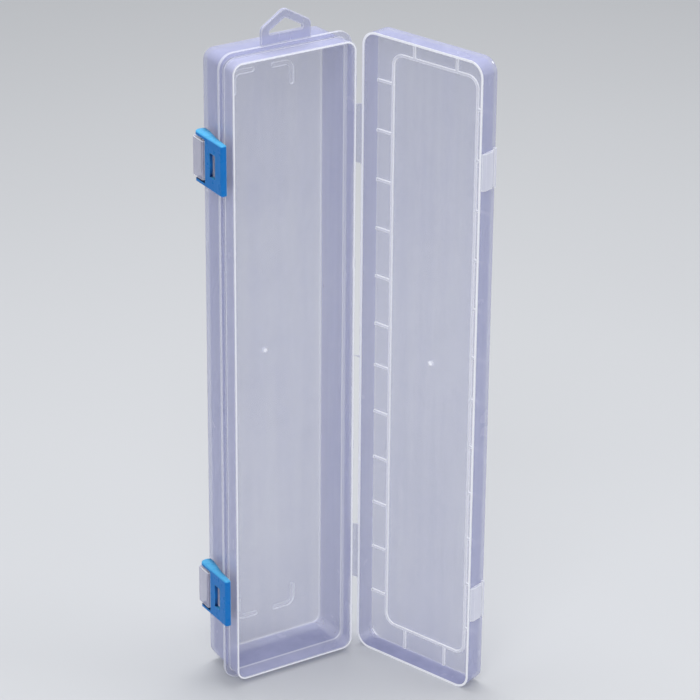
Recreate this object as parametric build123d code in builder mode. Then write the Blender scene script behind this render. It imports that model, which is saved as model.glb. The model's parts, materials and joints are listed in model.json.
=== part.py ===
from build123d import *
import os
from math import atan2, cos, degrees, hypot, radians, sin, sqrt

# Long brush box of clear polypropylene, standing on its short end with the lid open.
# +Z runs up the length of the box. The base is squared to X and Y: its opening faces -Y, its
# bottom panel faces +Y, the film hinge is on the +X side and the latches on the -X side.
# The origin is in the middle of the flange edge that the box stands on. Millimetres.
#
# Depths are counted from the parting plane, where flange and lid rim meet when the box is
# shut: outwards to the bottom panel in the base, outwards to the lid panel in the lid.

# ---- overall ----
box_length = 345.0
box_width = 75.0
corner_radius = 8.0
wall = 1.2
open_angle = 107.8            # between base and lid, 0 when shut
parting_gap = 0.1             # left between flange and lid rim when shut

# ---- base tray: drafted walls, with the flange part way up them ----
base_depth = 22.3             # parting plane to bottom panel
lip_height = 8.6              # how far the walls go on past the flange, into the lid
flange_thickness = 1.5
panel_inset = 3.7             # flange edge to tray wall, at the bottom panel
rim_inset = 2.6               # flange edge to tray wall, at the rim
tray_corner = 5.7
base_panel = 1.3              # thickness of the bottom panel
rim_chamfer = 0.35
base_outer_fillet = 0.9
base_inner_fillet = 1.6

# ---- L-shaped feet under the bottom panel ----
foot_arm = 10.5
foot_width = 2.4
foot_height = 0.8
foot_bend = 3.6
foot_side = 16.5              # from the long centre line to the middle of an arm
foot_end = 20.0               # from the end of the box to the middle of an arm

# ---- snap beads outside the lip, on the hinge side ----
bead_length = 7.0
bead_radius = 0.9
bead_height = 6.9             # height of a bead's middle above the parting plane
bead_offsets = (51.0, 148.0)  # from the middle of the box, up and down

# ---- hanger loop at the top end: heights above the flange ----
hanger_width = 28.0
hanger_shoulder = 9.0
hanger_height = 17.7
hanger_lean = 1.0             # how far its point is off the middle, to the latch side
hanger_strip = 4.8            # width of the loop beside the hole
hanger_crown = 5.1            # height of the loop above the hole
hanger_sill = 5.5             # solid height under the hole
hole_side = 1.6               # height of the hole's upright sides
hanger_rounding = 3.6
hole_rounding = 0.5
hanger_chamfer = 0.35

# ---- lid tray ----
lid_depth = 12.0
lid_panel = 1.0               # thickness of the lid panel
lid_draft = 0.3               # how much the lid narrows, each side, from rim to panel
lid_outer_fillet = 0.7
lid_inner_fillet = 0.8

# ---- stiffening ribs inside the lid panel ----
rib_width = 1.3
rib_height = 0.7
frame_side_inset = 11.2       # lid edge to the middle of the rib frame, long sides
frame_end_inset = 12.8        # the same at the short ends
frame_corner = 6.0
ribs_per_half = 6
rib_middle_gap = 23.4         # between the two side ribs nearest the middle
rib_last_gap = 16.0           # from the last side rib to the frame's end
end_rib_offset = 13.3         # from the long centre line to an end rib

# ---- film hinge ----
film_reach = 3.0              # flange edge to hinge axis, and axis to lid rim
film_thickness = 0.5
film_gap = 0.15               # each leaf stops this short of the axis
film_length = 32.5
film_from_bottom = 55.9       # end of the box to the middle of a film
film_from_top = 54.7
tie_length = 1.6
tie_below_middle = 4.0

# ---- latches: "out" is measured from the flange edge, away from the box ----
latch_from_bottom = 50.8      # end of the box to the middle of a latch
latch_from_top = 55.8
latch_width = 26.4
cheek_thickness = 1.8
face_out = 4.4
face_thickness = 1.8
latch_reach = 9.2             # past the parting plane, over the lid wall
hook_thickness = 1.2
hook_out = 1.75               # how near the hook's tip comes to the flange edge plane
pivot_out = 1.0
pivot_depth = 13.4
pivot_radius = 1.5
pivot_clearance = 0.08
cheek_end_radius = 4.1
cheek_in = 1.6                # how far the cheeks reach behind the flange edge plane
cheek_pass_out = 0.62         # where their slanting inner edge passes the flange
cheek_hook_out = 1.5          # and where it ends, at the hook
swing_clearance = 0.35        # latch face to bracket as the latch swings past it
latch_rounding = 1.2
latch_end_chamfer = 0.5
slot_length = 12.4
slot_near = 2.2               # depth of the slot's edge nearer the pivot
slot_width = 5.2

# ---- clear bracket that holds a latch's pivot ----
bracket_width = 20.2
bracket_out = 4.8
bracket_thickness = 1.2
bracket_near_depth = 8.3
bracket_far_depth = 18.1
seat_wall = 1.0               # material beside the pivot seat
seat_wrap = 0.8               # how far the seat reaches past the pivot's middle
bracket_rounding = 0.5

# ---- catch on the lid wall ----
ridge_width = 19.2
ridge_near = 0.6              # depths in the lid
ridge_ramp = 2.4
ridge_far = 7.5
ridge_out = 1.5               # how far the ridge stands out from the lid wall
groove_out = 0.4              # floor of the groove that the hook drops into
stop_near = 9.8
stop_far = 11.2
stop_width = 20.8
stop_out = 0.9

# ---- moulding gate marks in the middle of the panels ----
gate_radius = 1.3
gate_height = 0.3

# ---- places that follow from the sizes ----
middle_z = box_length / 2
parting_y = -flange_thickness / 2
hinge_x = box_width / 2 + film_reach
latch_low_z = latch_from_bottom
latch_high_z = box_length - latch_from_top
film_low_z = film_from_bottom
film_high_z = box_length - film_from_top
tie_z = middle_z - tie_below_middle
lid_centre = film_reach + box_width / 2
base_draft = (panel_inset - rim_inset) / (base_depth + lip_height)
base_taper = degrees(atan2(panel_inset - rim_inset, base_depth + lip_height))
lid_taper = degrees(atan2(lid_draft, lid_depth - parting_gap))

lid_swing = radians(180 - open_angle)
lid_out = (cos(lid_swing), -sin(lid_swing), 0)
lid_opening = (-sin(lid_swing), -cos(lid_swing), 0)
base_frame = Plane(origin=(0, parting_y, middle_z), x_dir=(1, 0, 0), z_dir=(0, -1, 0))
lid_middle = (hinge_x + lid_centre * lid_out[0], parting_y + lid_centre * lid_out[1], middle_z)
lid_frame = Plane(origin=lid_middle, x_dir=lid_out, z_dir=lid_opening)


def base_plane(depth):
    """Plane across the base at a depth: x to the hinge, y up from the middle of the box."""
    return base_frame.offset(-depth)


def lid_plane(depth):
    """Plane across the lid at a depth, from its middle: x away from the hinge, y up."""
    return lid_frame.offset(-depth)


def latch_section(z):
    """Level plane on the latch side: x out from the flange edge, y the depth in the base."""
    return Plane(origin=(-box_width / 2, parting_y, z), x_dir=(-1, 0, 0), z_dir=(0, 0, -1))


def hinge_section(z):
    """Level plane at the hinge: x away from the base, y the depth in the base."""
    return Plane(origin=(hinge_x, parting_y, z), x_dir=(1, 0, 0), z_dir=(0, 0, 1))


def lid_section(z):
    """Level plane at the hinge, turned with the lid: x along the lid, y the depth in it."""
    return Plane(origin=(hinge_x, parting_y, z), x_dir=lid_out, z_dir=(0, 0, 1))


def save(piece, name):
    piece.part.label = name
    export_step(piece.part, f"parts/{name}.step")


def block(near_x, near_y, far_x, far_y):
    """Rectangle between two opposite corners."""
    with Locations(((near_x + far_x) / 2, (near_y + far_y) / 2)):
        Rectangle(abs(far_x - near_x), abs(far_y - near_y))


def drafted_block(rim_plane, inset, height, taper, corner, panel_fillet):
    """Rounded block that narrows from its rim to its panel, drawn flat and then turned."""
    with BuildPart() as solid:
        with BuildSketch():
            Rectangle(box_width - 2 * inset, box_length - 2 * inset)
        extrude(amount=height, taper=taper)
        fillet(solid.edges().filter_by(lambda edge: abs(edge.tangent_at(0.5).Z) > 0.9), corner)
        fillet(solid.faces().sort_by(Axis.Z)[-1].edges(), panel_fillet)
    turned = Plane(origin=rim_plane.origin, x_dir=rim_plane.x_dir, z_dir=-rim_plane.z_dir)
    return turned.location * solid.part


# ---- base tray ----
def make_snap_beads():
    """Half-round beads along the outside of the lip that hold it in the lid."""
    lip_x = box_width / 2 - rim_inset - base_draft * (lip_height - bead_height)
    with BuildPart() as beads:
        for offset_z in bead_offsets:
            for up in (-1, 1):
                start_z = middle_z + up * offset_z - bead_length / 2
                with BuildSketch(Plane.XY.offset(start_z)):
                    with Locations((lip_x, parting_y - bead_height)):
                        Circle(bead_radius)
                extrude(amount=bead_length)
        chamfer(beads.edges().filter_by(GeomType.CIRCLE), bead_radius / 2)
    return beads


def make_corner_feet():
    """Four raised L shapes, their arms pointing to the middle of the panel."""
    with BuildPart() as feet:
        with BuildSketch(base_plane(base_depth)):
            for side in (-1, 1):
                for end in (-1, 1):
                    corner = (side * foot_side, end * (middle_z - foot_end))
                    across = (corner[0] - side * foot_arm, corner[1])
                    along = (corner[0], corner[1] - end * foot_arm)
                    with BuildLine() as bend:
                        FilletPolyline(across, corner, along, radius=foot_bend)
                    trace(bend.line, line_width=foot_width)
                    with Locations(across, along):
                        Circle(foot_width / 2)
        extrude(amount=-foot_height)
    return feet


def make_base_tray():
    rim_plane = base_plane(-lip_height)
    depth = base_depth + lip_height
    with BuildPart() as tray:
        add(drafted_block(rim_plane, rim_inset, depth, base_taper, tray_corner,
                          base_outer_fillet))
        with BuildSketch(base_plane(flange_thickness)):
            RectangleRounded(box_width, box_length, corner_radius)
        extrude(amount=flange_thickness)
        add(make_snap_beads().part)
        add(drafted_block(rim_plane, rim_inset + wall, depth - base_panel, base_taper,
                          tray_corner - wall, base_inner_fillet), mode=Mode.SUBTRACT)
        chamfer(tray.faces().sort_by(Axis.Y)[0].edges(), rim_chamfer)
        add(make_corner_feet().part)
        with BuildSketch(base_plane(base_depth)):
            Circle(gate_radius)
        extrude(amount=-gate_height)
    return tray


def make_hanger_loop():
    """House-shaped loop in the plane of the flange, standing on its top edge."""
    half = hanger_width / 2
    hole_half = half - hanger_strip
    shoulder = middle_z + hanger_shoulder
    sill = middle_z + hanger_sill
    with BuildPart() as hanger:
        with BuildSketch(base_plane(0)):
            with BuildLine():
                Polyline((-half, middle_z), (-half, shoulder),
                         (-hanger_lean, middle_z + hanger_height),
                         (half, shoulder), (half, middle_z), close=True)
            make_face()
        extrude(amount=-flange_thickness)
        fillet(hanger.edges().filter_by(Axis.Y).sort_by(Axis.Z)[2:], hanger_rounding)
        with BuildSketch(base_plane(0)) as hole:
            with BuildLine():
                Polyline((-hole_half, sill), (-hole_half, sill + hole_side),
                         (-hanger_lean / 2, middle_z + hanger_height - hanger_crown),
                         (hole_half, sill + hole_side), (hole_half, sill), close=True)
            make_face()
            fillet(hole.vertices(), hole_rounding)
        extrude(amount=-flange_thickness, mode=Mode.SUBTRACT)
        chamfer(hanger.faces().sort_by(Axis.Y)[0].edges(), hanger_chamfer)
    return hanger


def make_bracket(z, tray):
    """Plate on a web from the tray wall, with a snap-in seat for the latch's pivot."""
    plate_in = bracket_out - bracket_thickness
    web_near = bracket_far_depth - bracket_thickness
    wall_middle = -rim_inset - base_draft * (lip_height + web_near) - wall / 2
    seat_near = pivot_depth - pivot_radius - pivot_clearance - seat_wall
    with BuildPart() as bracket:
        with BuildSketch(latch_section(z)):
            block(plate_in, bracket_near_depth, bracket_out, bracket_far_depth)
            block(wall_middle, web_near, bracket_out, bracket_far_depth)
            block(pivot_out - seat_wrap, seat_near, bracket_out, bracket_far_depth)
            with Locations((pivot_out, pivot_depth)):
                Circle(pivot_radius + pivot_clearance, mode=Mode.SUBTRACT)
        extrude(amount=bracket_width / 2, both=True)
        fillet(bracket.edges().filter_by(Axis.Z).group_by(Axis.X)[0], bracket_rounding)
        add(tray.part, mode=Mode.SUBTRACT)
    return bracket


# ---- lid tray ----
def draw_rib_layout():
    """Rounded frame, with short ribs from it out to the lid's long and short walls."""
    frame_x = box_width / 2 - frame_side_inset
    frame_y = middle_z - frame_end_inset
    wall_x = box_width / 2 - lid_draft - wall / 2
    wall_y = middle_z - lid_draft - wall / 2
    pitch = (frame_y - rib_middle_gap / 2 - rib_last_gap) / (ribs_per_half - 1)
    half_rib = rib_width / 2
    RectangleRounded(2 * frame_x + rib_width, 2 * frame_y + rib_width, frame_corner + half_rib)
    RectangleRounded(2 * frame_x - rib_width, 2 * frame_y - rib_width,
                     frame_corner - half_rib, mode=Mode.SUBTRACT)
    for side in (-1, 1):
        for up in (-1, 1):
            for row in range(ribs_per_half):
                rib_y = up * (rib_middle_gap / 2 + row * pitch)
                block(side * frame_x, rib_y - half_rib, side * wall_x, rib_y + half_rib)
            rib_x = side * end_rib_offset
            block(rib_x - half_rib, up * frame_y, rib_x + half_rib, up * wall_y)


def make_lid_tray():
    rim_plane = lid_plane(parting_gap)
    depth = lid_depth - parting_gap
    with BuildPart() as tray:
        add(drafted_block(rim_plane, 0, depth, lid_taper, corner_radius, lid_outer_fillet))
        add(drafted_block(rim_plane, wall, depth - lid_panel, lid_taper,
                          corner_radius - wall, lid_inner_fillet), mode=Mode.SUBTRACT)
        with BuildSketch(lid_plane(lid_depth - lid_panel)):
            draw_rib_layout()
        extrude(amount=rib_height)
        with BuildSketch(lid_plane(lid_depth)):
            Circle(gate_radius)
        extrude(amount=-gate_height)
    return tray


def make_catch(z, tray):
    """Ridge that a latch hooks over, a groove behind it and a wider stop after that."""
    wall_out = film_reach + box_width
    root = wall_out - lid_draft - wall / 2
    with BuildPart() as catch:
        with BuildSketch(lid_section(z)):
            with BuildLine():
                Polyline((root, ridge_near), (wall_out + groove_out, ridge_near),
                         (wall_out + ridge_out, ridge_ramp), (wall_out + ridge_out, ridge_far),
                         (wall_out + groove_out, ridge_far), (wall_out + groove_out, stop_near),
                         (root, stop_near), close=True)
            make_face()
        extrude(amount=ridge_width / 2, both=True)
        with BuildSketch(lid_section(z)):
            block(root, stop_near, wall_out + stop_out, stop_far)
        extrude(amount=stop_width / 2, both=True)
        add(tray.part, mode=Mode.SUBTRACT)
    return catch


# ---- film hinge: each film is cut in two at the hinge axis ----
def make_base_half_film(z, length):
    with BuildPart() as film:
        with BuildSketch(hinge_section(z)):
            block(-film_reach, 0, -film_gap, film_thickness)
        extrude(amount=length / 2, both=True)
    return film


def make_lid_half_film(z, length, tray):
    with BuildPart() as film:
        with BuildSketch(lid_section(z)):
            block(film_gap, parting_gap, film_reach + wall / 2, parting_gap + film_thickness)
        extrude(amount=length / 2, both=True)
        add(tray.part, mode=Mode.SUBTRACT)
    return film


# ---- latch ----
def arc_depth(out):
    """Depth of the cheek's rounded end at a distance out from the flange edge plane."""
    return pivot_depth + sqrt(cheek_end_radius ** 2 - (out - pivot_out) ** 2)


def make_latch(z):
    """Blue flap: rounded about its pivot, stepped over the flange, hooked at the end."""
    face_in = face_out - face_thickness
    plate_corner = hypot(bracket_out - pivot_out, pivot_depth - bracket_near_depth)
    swing_radius = plate_corner + swing_clearance
    face_near = pivot_depth - sqrt(swing_radius ** 2 - (face_in - pivot_out) ** 2)
    hook_in = hook_thickness - latch_reach
    inner_half = latch_width / 2 - cheek_thickness
    with BuildPart() as latch:
        with BuildSketch(latch_section(z)):
            with BuildLine():
                ThreePointArc((face_out, arc_depth(face_out)), (pivot_out, arc_depth(pivot_out)),
                              (-cheek_in, arc_depth(-cheek_in)))
                Polyline((-cheek_in, arc_depth(-cheek_in)), (-cheek_in, pivot_depth),
                         (cheek_pass_out, flange_thickness), (cheek_hook_out, -latch_reach),
                         (face_out, -latch_reach), (face_out, arc_depth(face_out)))
            make_face()
        extrude(amount=latch_width / 2, both=True)
        fillet(latch.edges().filter_by(Axis.Z).group_by(Axis.Y)[0].sort_by(Axis.X)[0],
               latch_rounding)
        chamfer(latch.faces().sort_by(Axis.X)[0].edges().filter_by(Axis.Y), latch_end_chamfer)
        with BuildSketch(latch_section(z)):
            block(-3 * cheek_in, hook_in, face_in, 2 * pivot_depth)
            block(-3 * cheek_in, face_near, 2 * face_out, 2 * pivot_depth)
        extrude(amount=inner_half, both=True, mode=Mode.SUBTRACT)
        with BuildSketch(latch_section(z)):
            block(hook_out, -latch_reach, face_in, hook_in)
        extrude(amount=inner_half, both=True)
        with BuildSketch(latch_section(z)):
            with Locations((pivot_out, pivot_depth)):
                Circle(pivot_radius)
        extrude(amount=inner_half + cheek_thickness / 2, both=True)
        with BuildSketch(latch_section(z)):
            block(face_in - face_thickness, slot_near - slot_width, 2 * face_out, slot_near)
        extrude(amount=slot_length / 2, both=True, mode=Mode.SUBTRACT)
    return latch


os.makedirs("parts", exist_ok=True)
base_tray = make_base_tray()
lid_tray = make_lid_tray()
save(base_tray, "base_tray")
save(lid_tray, "lid_tray")
save(make_hanger_loop(), "hanger_loop")
for level, latch_z, film_z in (("upper", latch_high_z, film_high_z),
                               ("lower", latch_low_z, film_low_z)):
    save(make_bracket(latch_z, base_tray), f"{level}_latch_bracket")
    save(make_latch(latch_z), f"{level}_latch")
    save(make_catch(latch_z, lid_tray), f"{level}_lid_catch")
    save(make_base_half_film(film_z, film_length), f"{level}_film_base_half")
    save(make_lid_half_film(film_z, film_length, lid_tray), f"{level}_film_lid_half")
save(make_base_half_film(tie_z, tie_length), "middle_tie_base_half")
save(make_lid_half_film(tie_z, tie_length, lid_tray), "middle_tie_lid_half")
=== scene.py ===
import json
from math import cos, radians, sin

import bmesh
import bpy
from mathutils import Matrix, Vector


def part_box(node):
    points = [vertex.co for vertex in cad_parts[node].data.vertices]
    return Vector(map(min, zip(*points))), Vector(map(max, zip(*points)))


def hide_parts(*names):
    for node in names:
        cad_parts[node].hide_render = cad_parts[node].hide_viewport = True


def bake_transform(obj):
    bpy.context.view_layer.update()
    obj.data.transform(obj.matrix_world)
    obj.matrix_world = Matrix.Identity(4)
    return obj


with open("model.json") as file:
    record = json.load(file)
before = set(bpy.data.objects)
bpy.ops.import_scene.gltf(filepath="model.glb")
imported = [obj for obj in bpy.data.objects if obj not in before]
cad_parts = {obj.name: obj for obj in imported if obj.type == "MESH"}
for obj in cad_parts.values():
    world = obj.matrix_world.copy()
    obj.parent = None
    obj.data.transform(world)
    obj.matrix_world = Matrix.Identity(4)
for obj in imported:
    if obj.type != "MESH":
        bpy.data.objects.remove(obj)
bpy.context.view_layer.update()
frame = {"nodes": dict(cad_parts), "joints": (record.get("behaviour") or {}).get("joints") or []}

# Looks of a long clear brush box with a film-hinged lid and two blue flap latches.
# Metres, in the CAD part's frame: the base opens to -Y, the lid hangs on the +X side.

nodes = frame["nodes"]
joints = {joint["name"]: joint for joint in frame["joints"]}

# Sizes of the box that the painted highlights and the film strips are placed by.
half_width = 0.0375
base_depth = 0.0223           # hinge to the base's bottom panel
lid_depth = 0.012             # hinge to the lid's panel
lid_skin = 0.001              # thickness of the lid's panel
foot_height = 0.0008
rib_height = 0.0007
parting_gap = 0.0001
film_reach = 0.003            # flange edge to hinge axis, and axis to lid rim
film_thick = 0.0005
film_thin = 0.00028           # on the hinge axis
film_root = 0.0004            # how far a strip runs on into the base and the lid
film_waist = 0.0006           # how much a strip narrows on the hinge axis, at each end

# Directions: "outward" points from a tray's opening to its panel.
hinge = Vector(joints["lid_hinge"]["pos_m"])
lid_angle = -radians(joints["lid_hinge"]["range_deg"][1])      # from +X, seen from above
lid_across = Vector((cos(lid_angle), sin(lid_angle), 0))
lid_outward = Vector((-sin(lid_angle), cos(lid_angle), 0))
base_across = Vector((1, 0, 0))
base_outward = Vector((0, 1, 0))

# Places on the outward directions, and the middle of the lid at its opening.
base_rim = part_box("base_tray")[0].y
base_panel = hinge.y + base_depth
lid_rim = lid_outward.dot(hinge) + parting_gap
lid_panel = lid_outward.dot(hinge) + lid_depth
lid_floor = lid_panel - lid_skin
lid_middle = hinge + lid_across * (film_reach + half_width)


# ---- node material helpers ----
class Paint:
    """A material's node tree, with short ways to add and join nodes."""

    def __init__(self, name):
        self.material = bpy.data.materials.new(name)
        self.material.use_nodes = True
        self.tree = self.material.node_tree
        self.tree.nodes.clear()
        self.shader = self.add("ShaderNodeBsdfPrincipled")
        output = self.add("ShaderNodeOutputMaterial")
        self.join(self.shader.outputs["BSDF"], output.inputs["Surface"])
        coordinates = self.add("ShaderNodeTexCoord")
        self.place = coordinates.outputs["Object"]
        self.normal = coordinates.outputs["Normal"]

    def add(self, kind, **settings):
        node = self.tree.nodes.new(kind)
        for key, value in settings.items():
            setattr(node, key, value)
        return node

    def join(self, start, end):
        self.tree.links.new(start, end)

    def feed(self, socket, value):
        """Joins another node's output to a socket, or sets the socket to a value."""
        if isinstance(value, bpy.types.NodeSocket):
            self.join(value, socket)
        else:
            socket.default_value = value

    def surface(self, **values):
        """Feeds sockets of the shader, named with _ for each space."""
        for name, value in values.items():
            self.feed(self.shader.inputs[name.replace("_", " ")], value)

    def noise(self, scale, detail, stretch=None):
        node = self.add("ShaderNodeTexNoise")
        where = self.place
        if stretch:
            mapping = self.add("ShaderNodeMapping")
            mapping.inputs["Scale"].default_value = stretch
            self.join(where, mapping.inputs["Vector"])
            where = mapping.outputs["Vector"]
        self.join(where, node.inputs["Vector"])
        node.inputs["Scale"].default_value = scale
        node.inputs["Detail"].default_value = detail
        return node.outputs["Fac"]

    def math(self, operation, first, second=0.0):
        node = self.add("ShaderNodeMath", operation=operation)
        self.feed(node.inputs[0], first)
        self.feed(node.inputs[1], second)
        return node.outputs[0]

    def times(self, first, *others):
        for other in others:
            first = self.math("MULTIPLY", first, other)
        return first

    def total(self, first, *others):
        for other in others:
            first = self.math("ADD", first, other)
        return first

    def largest(self, first, *others):
        for other in others:
            first = self.math("MAXIMUM", first, other)
        return first

    def spread(self, value, low, high, to_low, to_high):
        """Maps low..high of a value to to_low..to_high, and holds it there beyond."""
        node = self.add("ShaderNodeMapRange")
        self.feed(node.inputs["Value"], value)
        node.inputs["From Min"].default_value = low
        node.inputs["From Max"].default_value = high
        node.inputs["To Min"].default_value = to_low
        node.inputs["To Max"].default_value = to_high
        return node.outputs["Result"]

    def mix(self, share, first, second):
        node = self.add("ShaderNodeMix", data_type="RGBA")
        self.feed(node.inputs["Factor"], share)
        self.feed(node.inputs["A"], first)
        self.feed(node.inputs["B"], second)
        return node.outputs["Result"]

    def vector_math(self, operation, first, second):
        node = self.add("ShaderNodeVectorMath", operation=operation)
        self.feed(node.inputs[0], first)
        self.feed(node.inputs[1], second)
        return node

    def dot(self, direction, vector):
        return self.vector_math("DOT_PRODUCT", vector, direction).outputs["Value"]

    def edges(self, radius):
        """(share, normal): 1 near an edge of the solid, and the normal rounded over it."""
        bevel = self.add("ShaderNodeBevel", samples=6)
        bevel.inputs["Radius"].default_value = radius
        flat = self.add("ShaderNodeNewGeometry").outputs["Normal"]
        turn = self.dot(flat, bevel.outputs["Normal"])
        return self.spread(turn, 0.995, 0.89, 0.0, 1.0), bevel.outputs["Normal"]


# ---- clear plastic ----
class PaintedHighlights:
    """Where on a tray clear plastic gets painted highlights, besides its edges: pale painted
    bands, lines and spots that stand in for light caught in the plastic. Each share is 0 to 1.

    Depths are measured along outward. rim is the depth of the opening's edge, which gets a
    painted highlight. raised is the two depths between which ribs or feet stand, tops how strong
    their painted highlight is on top, and reach how far from the middle they go, across and up,
    before the walls. bends is how strong the painted highlight band on the round corner along
    the panel is. gate is the place of the moulding gate, which gets a painted highlight spot.
    flange is the depth of the middle of a flange round the walls, with a painted highlight line
    at its root and the lip in front of it, which is painted lighter against the shade there.
    """

    def __init__(self, across, middle, rim, raised, reach, tops, bends, gate, flange=None):
        self.across = across
        self.middle = middle
        self.rim = rim
        self.raised = raised
        self.reach = reach
        self.tops = tops
        self.bends = bends
        self.gate = gate
        self.flange = flange

    # Painted highlight band on the round corners, strongest where the surface slopes at 45
    # degrees.
    def bend(self, paint, square):
        slope = paint.times(square, square)
        return paint.times(slope, paint.math("SUBTRACT", 1.0, slope), 4 * self.bends)

    # Painted highlight along the rim of the opening.
    def rim_edge(self, paint, depth):
        return paint.spread(depth, self.rim, self.rim + 0.0004, 1.0, 0.0)

    # Painted highlight on the ribs and feet, weaker on their tops by tops.
    def ribs(self, paint, depth, square):
        offset = paint.vector_math("SUBTRACT", paint.place, self.middle).outputs["Vector"]
        sideways = paint.math("ABSOLUTE", paint.dot(self.across, offset))
        upwards = paint.math("ABSOLUTE", paint.dot((0, 0, 1), offset))
        return paint.times(paint.spread(square, 0.3, 0.6, 1.0, self.tops),
                           paint.math("GREATER_THAN", depth, self.raised[0]),
                           paint.math("LESS_THAN", depth, self.raised[1]),
                           paint.math("LESS_THAN", sideways, self.reach[0]),
                           paint.math("LESS_THAN", upwards, self.reach[1]))

    # Painted highlight spot at the moulding gate.
    def gate_highlight(self, paint):
        apart = paint.vector_math("DISTANCE", paint.place, self.gate).outputs["Value"]
        return paint.spread(apart, 0.0012, 0.0019, 0.95, 0.0)

    # Painted highlight line on the walls at the flange's root.
    def flange_root(self, paint, depth, square):
        away = paint.math("ABSOLUTE", paint.math("SUBTRACT", depth, self.flange))
        return paint.times(paint.spread(away, 0.0003, 0.0009, 0.6, 0.0),
                           paint.spread(square, 0.3, 0.6, 1.0, 0.0))

    # Share of the lip in front of the flange, which gets painted light: it is lightened against
    # the shade that falls there behind the flange and the lid.
    def lip(self, paint, depth):
        return paint.spread(depth, self.flange - 0.0009, self.flange - 0.0006, 1.0, 0.0)

    def add_painted_highlights(self, paint, highlight_share, depth, square):
        highlight_share = paint.largest(highlight_share, self.bend(paint, square), self.rim_edge(paint, depth),
                              self.ribs(paint, depth, square), self.gate_highlight(paint))
        if self.flange is not None:
            highlight_share = paint.largest(highlight_share, self.flange_root(paint, depth, square))
        return highlight_share


def clear_density(paint, square, streak, thin, dense):
    """How little is seen through: thin where it faces outward, dense where it faces across."""
    slant = paint.add("ShaderNodeLayerWeight")
    slant.inputs["Blend"].default_value = 0.5
    return paint.total(paint.spread(square, 0.25, 0.9, dense, thin),
                       paint.spread(slant.outputs["Facing"], 0.3, 0.9, 0.0, 0.16),
                       paint.spread(paint.noise(22.0, 3.0), 0.3, 0.7, -0.02, 0.02),
                       paint.times(streak, 0.05))


def ripples(paint, rounded):
    """The rounded normal with faint flow ripples on it."""
    bump = paint.add("ShaderNodeBump")
    bump.inputs["Strength"].default_value = 0.08
    bump.inputs["Distance"].default_value = 0.0008
    paint.join(paint.noise(90.0, 2.0), bump.inputs["Height"])
    paint.join(rounded, bump.inputs["Normal"])
    return bump.outputs["Normal"]


def clear_plastic(name, outward, thin, dense, tint=(0.46, 0.48, 0.72), highlight_places=None, seat=None):
    """Milky clear polypropylene, see-through where it lies flat and denser along its edges,
    which also carry a painted highlight and a faint painted glow.

    seat is the direction of the face, if any, that is moulded on to a wall.
    """
    paint = Paint(name)
    # Painted highlight share, starting from the edges. The added opacity there is the denser
    # look of plastic seen edge-on; the pale colour and the glow are painted light.
    highlight_share, rounded = paint.edges(0.0007)
    square = paint.math("ABSOLUTE", paint.dot(outward, paint.normal))
    depth = paint.dot(outward, paint.place)
    streak = paint.spread(paint.noise(1.0, 3.0, (90.0, 90.0, 4.0)), 0.35, 0.65, 0.0, 1.0)
    deep = (tint[0] * 0.92, tint[1] * 0.92, tint[2] * 0.95, 1)
    body = paint.mix(streak, deep, (*tint, 1))
    if highlight_places:
        highlight_share = highlight_places.add_painted_highlights(paint, highlight_share, depth, square)
        if highlight_places.flange is not None:
            # Painted light: the lip is painted lighter against the shade of the layers stacked
            # behind it.
            lip_light = paint.times(highlight_places.lip(paint, depth), 0.25)
            body = paint.mix(lip_light, body, (0.72, 0.73, 0.90, 1))
    density = clear_density(paint, square, streak, thin, dense)
    if seat:
        shown = paint.spread(paint.dot(seat, paint.normal), 0.5, 0.9, 1.0, 0.1)
        density = paint.times(density, shown)
        highlight_share = paint.times(highlight_share, shown)
    opaque = paint.largest(density, paint.times(highlight_share, 0.94))
    # Painted highlight and painted glow: the highlight share is painted pale and given emission,
    # though the plastic is no lamp.
    paint.surface(Alpha=paint.math("MINIMUM", opaque, 1.0),
                  Base_Color=paint.mix(highlight_share, body, (0.72, 0.73, 0.78, 1)),
                  Emission_Color=paint.mix(highlight_share, (0, 0, 0, 1), (0.96, 0.97, 1.0, 1)),
                  Emission_Strength=0.31,
                  Roughness=paint.spread(paint.noise(60.0, 4.0), 0.3, 0.7, 0.16, 0.28),
                  Normal=ripples(paint, rounded),
                  IOR=1.49,
                  Coat_Weight=0.15)
    return paint.material


# ---- blue plastic ----
def blue_plastic():
    """Translucent blue polypropylene, with painted light: painted cyan light on faces that look
    up, painted highlights along its edges and painted shade in slots and recesses.
    """
    paint = Paint("blue_plastic")
    edge, rounded = paint.edges(0.0006)
    body = paint.mix(paint.noise(140.0, 3.0), (0.008, 0.185, 0.57, 1), (0.014, 0.220, 0.65, 1))
    # Painted highlight: edges are painted a lighter blue.
    body = paint.mix(paint.times(edge, 0.6), body, (0.07, 0.40, 0.82, 1))
    # Painted light: faces that look up are painted cyan, as if lit from above.
    top_light = paint.spread(paint.dot((0, 0, 1), paint.normal), 0.25, 0.85, 0.0, 0.9)
    body = paint.mix(top_light, body, (0.11, 0.50, 0.82, 1))
    # Painted shade: recesses such as the slots are painted dark navy where ambient occlusion
    # finds them.
    recess = paint.add("ShaderNodeAmbientOcclusion", samples=16)
    recess.inputs["Distance"].default_value = 0.006
    slot_shade = paint.spread(recess.outputs["AO"], 0.62, 0.94, 0.97, 0.0)
    paint.surface(Base_Color=paint.mix(slot_shade, body, (0.0, 0.016, 0.12, 1)),
                  Roughness=paint.spread(paint.noise(300.0, 3.0), 0.3, 0.7, 0.24, 0.36),
                  Normal=rounded,
                  IOR=1.49,
                  Specular_IOR_Level=0.15,
                  Subsurface_Weight=0.2,
                  Subsurface_Radius=(0.2, 0.7, 1.0),
                  Subsurface_Scale=0.002)
    return paint.material


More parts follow.
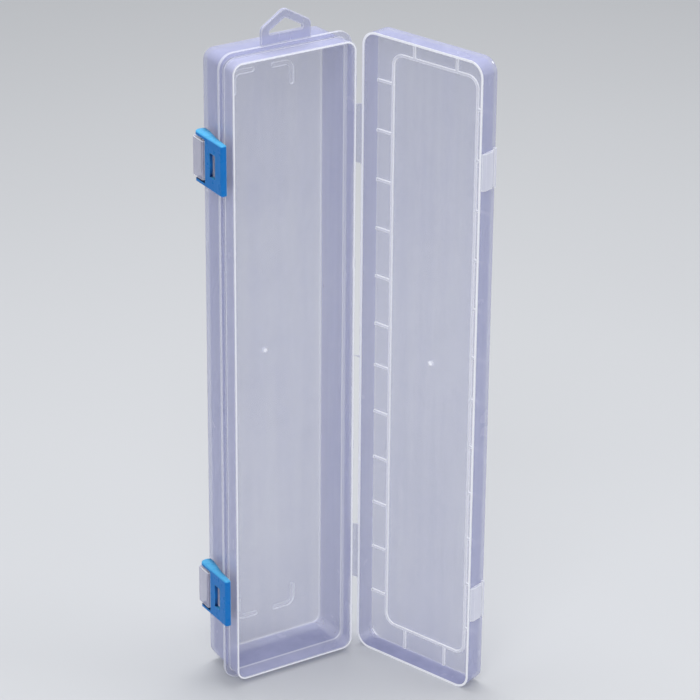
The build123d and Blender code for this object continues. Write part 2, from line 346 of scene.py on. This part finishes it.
# ---- film hinge strips ----
def strip_path(reach):
    """Start, bend and end of a strip's middle line, as seen from above."""
    start = Vector((hinge.x - reach - film_root, hinge.y + film_thick / 2, 0))
    bend = Vector((hinge.x, hinge.y + film_thick / 3, 0))
    end = Vector((hinge.x, hinge.y, 0)) + lid_across * (reach + film_root)
    end += lid_outward * (film_thick / 2 + parting_gap)
    return start, bend, end


def strip_rings(mesh, start, bend, end, z_low, z_high):
    """Closed rows of points round the strip, upright, from the base to the lid."""
    steps_across = 20
    steps_up = 28
    rings = []
    for i in range(steps_across + 1):
        t = i / steps_across
        point = start * (1 - t) ** 2 + bend * 2 * t * (1 - t) + end * t ** 2
        slope = (bend - start) * (1 - t) + (end - bend) * t
        side = Vector((-slope.y, slope.x, 0)).normalized()
        from_axis = abs(2 * t - 1)
        half = (film_thin + (film_thick - film_thin) * from_axis ** 1.5) / 2
        waist = film_waist * (1 - from_axis ** 2)
        low, high = z_low + waist, z_high - waist
        heights = [low + (high - low) * j / steps_up for j in range(steps_up + 1)]
        ring = [mesh.verts.new(point + side * half + Vector((0, 0, z))) for z in heights]
        ring += [mesh.verts.new(point - side * half + Vector((0, 0, z)))
                 for z in reversed(heights)]
        rings.append(ring)
    return rings


def film_strip(name, halves, material):
    """One strip in place of the two CAD halves of a film, thinnest on the hinge axis."""
    low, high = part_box(halves[0])
    start, bend, end = strip_path(hinge.x - low.x)
    mesh = bmesh.new()
    rings = strip_rings(mesh, start, bend, end, low.z, high.z)
    for first, second in zip(rings, rings[1:]):
        for j in range(len(first)):
            k = (j + 1) % len(first)
            mesh.faces.new((first[j], first[k], second[k], second[j]))
    mesh.faces.new(rings[0])
    mesh.faces.new(rings[-1][::-1])
    bmesh.ops.recalc_face_normals(mesh, faces=mesh.faces)
    data = bpy.data.meshes.new(name)
    mesh.to_mesh(data)
    mesh.free()
    strip = bpy.data.objects.new(name, data)
    bpy.context.scene.collection.objects.link(strip)
    data.materials.append(material)
    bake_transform(strip)
    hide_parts(*halves)


# ---- materials on the pieces ----
def dress(name, material):
    node = nodes[name]
    node.data.materials.clear()
    node.data.materials.append(material)
    for face in node.data.polygons:
        face.material_index = 0


base_highlights = PaintedHighlights(across=base_across, middle=Vector((0, base_panel, hinge.z)), rim=base_rim,
                   raised=(base_panel + 0.00005, base_panel + foot_height + 0.0002),
                   reach=(0.035, 0.17), tops=0.35, bends=0.45,
                   gate=Vector((0, base_panel - 0.0005, hinge.z)), flange=0)
lid_highlights = PaintedHighlights(across=lid_across, middle=lid_middle, rim=lid_rim,
                  raised=(lid_floor - rib_height - 0.00002, lid_floor - 0.00005),
                  reach=(0.0353, 0.1703), tops=0.65, bends=0.12,
                  gate=lid_middle + lid_outward * (lid_depth - lid_skin / 2))
latch_plastic = blue_plastic()
bracket_plastic = clear_plastic("clear_bracket", base_outward, 0.38, 0.38,
                                tint=(0.52, 0.52, 0.70))
catch_plastic = clear_plastic("clear_catch", lid_outward, 0.85, 0.85,
                              tint=(0.78, 0.79, 0.90), seat=-lid_across)
film_plastic = clear_plastic("clear_film", base_outward, 0.2, 0.3)

dress("hanger_loop", clear_plastic("clear_hanger", base_outward, 0.4, 0.6))
dress("base_tray", clear_plastic("clear_base", base_outward, 0.24, 0.40, highlight_places=base_highlights))
dress("lid_tray", clear_plastic("clear_lid", lid_outward, 0.24, 0.40, highlight_places=lid_highlights))
for level in ("upper", "lower"):
    dress(f"{level}_latch", latch_plastic)
    dress(f"{level}_latch_bracket", bracket_plastic)
    dress(f"{level}_lid_catch", catch_plastic)
for strip_name in ("upper_film", "lower_film", "middle_tie"):
    cad_halves = (f"{strip_name}_base_half", f"{strip_name}_lid_half")
    film_strip(strip_name, cad_halves, film_plastic)


# ---- floor, light and camera ----
def make_floor():
    paint = Paint("floor")
    pale = paint.mix(paint.noise(3.0, 2.0), (0.55, 0.56, 0.58, 1), (0.57, 0.58, 0.60, 1))
    paint.surface(Base_Color=pale, Roughness=0.9)
    bpy.ops.mesh.primitive_plane_add(size=20, location=(0, 0, 0))
    floor = bpy.context.object
    floor.name = "floor"
    floor.data.materials.append(paint.material)


def make_lamp(name, place, aim, size, power):
    data = bpy.data.lights.new(name, "AREA")
    data.shape = "RECTANGLE"
    data.size, data.size_y = size
    data.energy = power
    lamp = bpy.data.objects.new(name, data)
    bpy.context.scene.collection.objects.link(lamp)
    lamp.location = place
    lamp.rotation_euler = (Vector(place) - Vector(aim)).to_track_quat("Z", "Y").to_euler()


def make_world():
    world = bpy.data.worlds.new("world")
    bpy.context.scene.world = world
    world.use_nodes = True
    background = world.node_tree.nodes["Background"]
    background.inputs["Color"].default_value = (0.95, 0.97, 1.0, 1)
    background.inputs["Strength"].default_value = 0.50


def make_camera():
    """Looks down 25.2 degrees, from 32.1 degrees to the left of the base's opening."""
    azimuth = radians(32.084)
    drop = radians(25.222)
    roll = radians(0.458)
    ahead = Vector((sin(azimuth) * cos(drop), cos(azimuth) * cos(drop), -sin(drop)))
    right = Vector((cos(azimuth), -sin(azimuth), 0))
    up = right.cross(ahead)
    rolled_right = right * cos(roll) + up * sin(roll)
    rolled_up = up * cos(roll) - right * sin(roll)
    data = bpy.data.cameras.new("camera")
    data.sensor_width = 36.0
    data.lens = 166.22
    data.clip_end = 50.0
    camera = bpy.data.objects.new("camera", data)
    bpy.context.scene.collection.objects.link(camera)
    turn = Matrix((rolled_right, rolled_up, -ahead)).transposed()
    camera.matrix_world = Matrix.Translation((-0.7540, -1.26345, 0.8740)) @ turn.to_4x4()
    bpy.context.scene.camera = camera


box_middle = (0.02, -0.02, 0.17)
make_floor()
make_lamp("key", (-0.9, -1.0, 1.5), box_middle, (0.9, 0.9), 10.5)
make_lamp("fill", (1.3, -0.9, 0.9), box_middle, (0.8, 1.2), 5.5)
make_lamp("top", (0.1, 0.2, 1.5), (0.02, -0.02, 0.2), (0.7, 0.6), 13.5)
make_world()
make_camera()
bpy.context.scene.view_settings.view_transform = "Standard"
